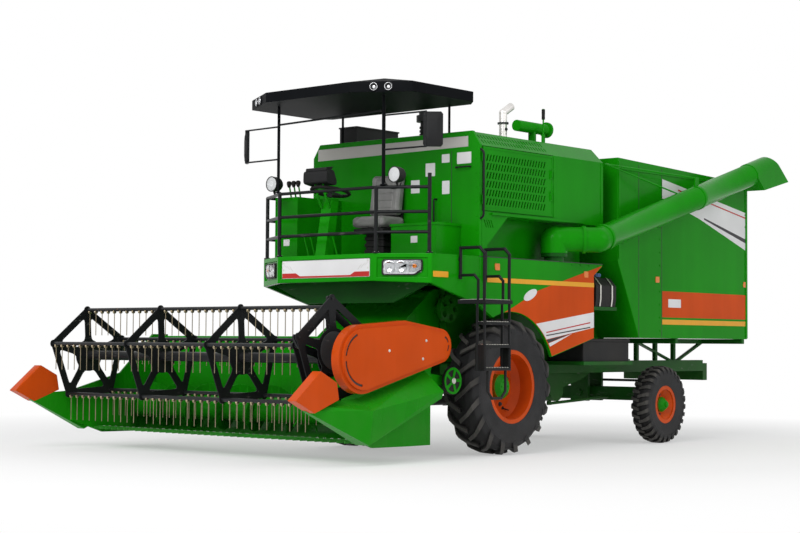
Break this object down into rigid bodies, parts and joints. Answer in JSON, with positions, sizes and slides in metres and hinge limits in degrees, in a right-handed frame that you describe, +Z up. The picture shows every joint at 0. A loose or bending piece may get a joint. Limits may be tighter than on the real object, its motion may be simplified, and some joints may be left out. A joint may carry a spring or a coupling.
{
  "type": "combine harvester",
  "caption": "Self-propelled combine harvester with an open operator platform under a canopy, cutter table with tined reel, grain tank, swinging unloading auger and straw hood.",
  "frame": {"origin": "on the ground at the middle of the bounding box", "axes": "+X to the machine's left, -Y forward, +Z up"},
  "size_m": [4.7019, 8.61, 3.847],
  "materials": {
    "body_green": "gloss paint",
    "frame_green": "satin paint",
    "orange_paint": "gloss paint",
    "black_paint": "satin paint",
    "tyre": "matt rubber",
    "steel": "worn steel",
    "dark_steel": "satin paint",
    "bright_steel": "polished",
    "black_plastic": "moulded",
    "seat_cover": "covered cushion",
    "cast_engine": "cast",
    "lamp_lens": "moulded lens"
  },
  "bodies": {
    "machine": {"chassis_frame": "frame_green", "hood_carrier": "frame_green", "front_axle": "frame_green", "rear_axle": "frame_green", "threshing_body": "body_green", "under_pan": "frame_green", "upper_floor": "frame_green", "side_panels": "body_green", "platform": "body_green", "bulkhead": "body_green", "engine_bay": "body_green", "grain_tank": "body_green", "straw_hood": "body_green", "straw_walkers": "dark_steel", "service_trays": "frame_green", "additive_tank": "black_plastic", "battery_box": "black_plastic", "railing": "black_paint", "ladder": "black_paint", "canopy": "black_plastic", "mirrors": "black_plastic", "lamps": "lamp_lens", "seat": "seat_cover", "steering": "dark_steel", "console": "body_green", "engine_block": "cast_engine", "exhaust": "steel", "air_intake": "black_plastic", "auger_turret": "frame_green"},
    "front_left_wheel": {"front_left_tyre": "tyre", "front_left_rim": "orange_paint"},
    "front_right_wheel": {"front_right_tyre": "tyre", "front_right_rim": "orange_paint"},
    "left_steering": {"left_knuckle": "frame_green"},
    "right_steering": {"right_knuckle": "frame_green"},
    "rear_left_wheel": {"rear_left_tyre": "tyre", "rear_left_rim": "orange_paint"},
    "rear_right_wheel": {"rear_right_tyre": "tyre", "rear_right_rim": "orange_paint"},
    "track_rod": {"tie_rod": "dark_steel"},
    "header": {"feeder_house": "body_green", "header_trough": "body_green", "dividers": "body_green", "divider_tips": "orange_paint", "knife_guards": "steel"},
    "auger": {"table_auger": "body_green"},
    "reel_frame": {"reel_arms": "dark_steel", "reel_guard": "orange_paint"},
    "reel": {"reel_spiders": "black_paint"},
    "reel_control": {"reel_eccentric": "black_paint"},
    "bat_one": {"bat_1": "black_paint"},
    "bat_two": {"bat_2": "black_paint"},
    "bat_three": {"bat_3": "black_paint"},
    "bat_four": {"bat_4": "black_paint"},
    "bat_five": {"bat_5": "black_paint"},
    "lift_barrel": {"lift_barrels": "dark_steel"},
    "lift_rod": {"lift_rods": "bright_steel"},
    "unloader": {"unload_auger": "body_green"},
    "screen": {"screen_door": "steel"}
  },
  "joints": [
    {"name": "front_left_spin", "type": "hinge", "parent": "machine", "child": "front_left_wheel", "pos_m": [1.775, -1.00496, 0.72], "axis": [1, 0, 0], "continuous": true},
    {"name": "front_right_spin", "type": "hinge", "parent": "machine", "child": "front_right_wheel", "pos_m": [-0.275, -1.00496, 0.72], "axis": [1, 0, 0], "continuous": true},
    {"name": "left_steer", "type": "hinge", "parent": "machine", "child": "left_steering", "pos_m": [1.55, 2.11004, 0.46], "axis": [0, 0, 1], "range_deg": [-38, 38]},
    {"name": "right_steer", "type": "hinge", "parent": "machine", "child": "right_steering", "pos_m": [-0.05, 2.11004, 0.46], "axis": [0, 0, 1], "range_deg": [-38, 38]},
    {"name": "track_rod_slide", "type": "slide", "parent": "machine", "child": "track_rod", "axis": [1, 0, 0], "range_m": [-0.15, 0.15]},
    {"name": "rear_left_spin", "type": "hinge", "parent": "left_steering", "child": "rear_left_wheel", "pos_m": [1.795, 2.11004, 0.46], "axis": [1, 0, 0], "continuous": true},
    {"name": "rear_right_spin", "type": "hinge", "parent": "right_steering", "child": "rear_right_wheel", "pos_m": [-0.295, 2.11004, 0.46], "axis": [1, 0, 0], "continuous": true},
    {"name": "header_lift", "type": "hinge", "parent": "machine", "child": "header", "pos_m": [0.75, -1.43496, 1.54], "axis": [-1, 0, 0], "range_deg": [-3, 24]},
    {"name": "lift_barrel_swing", "type": "hinge", "parent": "machine", "child": "lift_barrel", "pos_m": [0.75, -1.06496, 0.56], "axis": [-1, 0, 0], "range_deg": [-4, 18]},
    {"name": "lift_rod_slide", "type": "slide", "parent": "lift_barrel", "child": "lift_rod", "axis": [0, -1, 0], "range_m": [-0.06, 0.43]},
    {"name": "table_auger_spin", "type": "hinge", "parent": "header", "child": "auger", "pos_m": [0.75, -2.64496, 0.47], "axis": [1, 0, 0], "continuous": true},
    {"name": "reel_lift", "type": "hinge", "parent": "header", "child": "reel_frame", "pos_m": [0.75, -2.25496, 1.15], "axis": [-1, 0, 0], "range_deg": [0, 18]},
    {"name": "reel_spin", "type": "hinge", "parent": "reel_frame", "child": "reel", "pos_m": [0.75, -3.41496, 1.018], "axis": [1, 0, 0], "continuous": true},
    {"name": "reel_control_spin", "type": "hinge", "parent": "reel_frame", "child": "reel_control", "pos_m": [0.75, -3.47496, 1.098], "axis": [1, 0, 0], "continuous": true},
    {"name": "bat_one_turn", "type": "hinge", "parent": "reel", "child": "bat_one", "pos_m": [0.75, -3.44374, 1.51717], "axis": [1, 0, 0], "continuous": true},
    {"name": "bat_two_turn", "type": "hinge", "parent": "reel", "child": "bat_two", "pos_m": [0.75, -3.89859, 1.14488], "axis": [1, 0, 0], "continuous": true},
    {"name": "bat_three_turn", "type": "hinge", "parent": "reel", "child": "bat_three", "pos_m": [0.75, -3.68508, 0.59725], "axis": [1, 0, 0], "continuous": true},
    {"name": "bat_four_turn", "type": "hinge", "parent": "reel", "child": "bat_four", "pos_m": [0.75, -3.09827, 0.63108], "axis": [1, 0, 0], "continuous": true},
    {"name": "bat_five_turn", "type": "hinge", "parent": "reel", "child": "bat_five", "pos_m": [0.75, -2.94911, 1.19963], "axis": [1, 0, 0], "continuous": true},
    {"name": "unloader_swing", "type": "hinge", "parent": "machine", "child": "unloader", "pos_m": [1.85, -0.10496, 2.33], "axis": [0, 0, -1], "range_deg": [0, 95]},
    {"name": "screen_open", "type": "hinge", "parent": "machine", "child": "screen", "pos_m": [1.964, -1.51296, 2.898], "axis": [0, 0, -1], "range_deg": [0, 90]}
  ],
  "couplings": [
    {"joint": "right_steer", "follows": "left_steer", "ratio": 1},
    {"joint": "track_rod_slide", "follows": "left_steer", "m_per_rad": -0.21351},
    {"joint": "lift_barrel_swing", "follows": "header_lift", "ratio": 0.57479},
    {"joint": "lift_rod_slide", "follows": "header_lift", "m_per_rad": 0.92537},
    {"joint": "reel_control_spin", "follows": "reel_spin", "ratio": 1},
    {"joint": "bat_one_turn", "follows": "reel_spin", "ratio": -1},
    {"joint": "bat_two_turn", "follows": "reel_spin", "ratio": -1},
    {"joint": "bat_three_turn", "follows": "reel_spin", "ratio": -1},
    {"joint": "bat_four_turn", "follows": "reel_spin", "ratio": -1},
    {"joint": "bat_five_turn", "follows": "reel_spin", "ratio": -1}
  ]
}
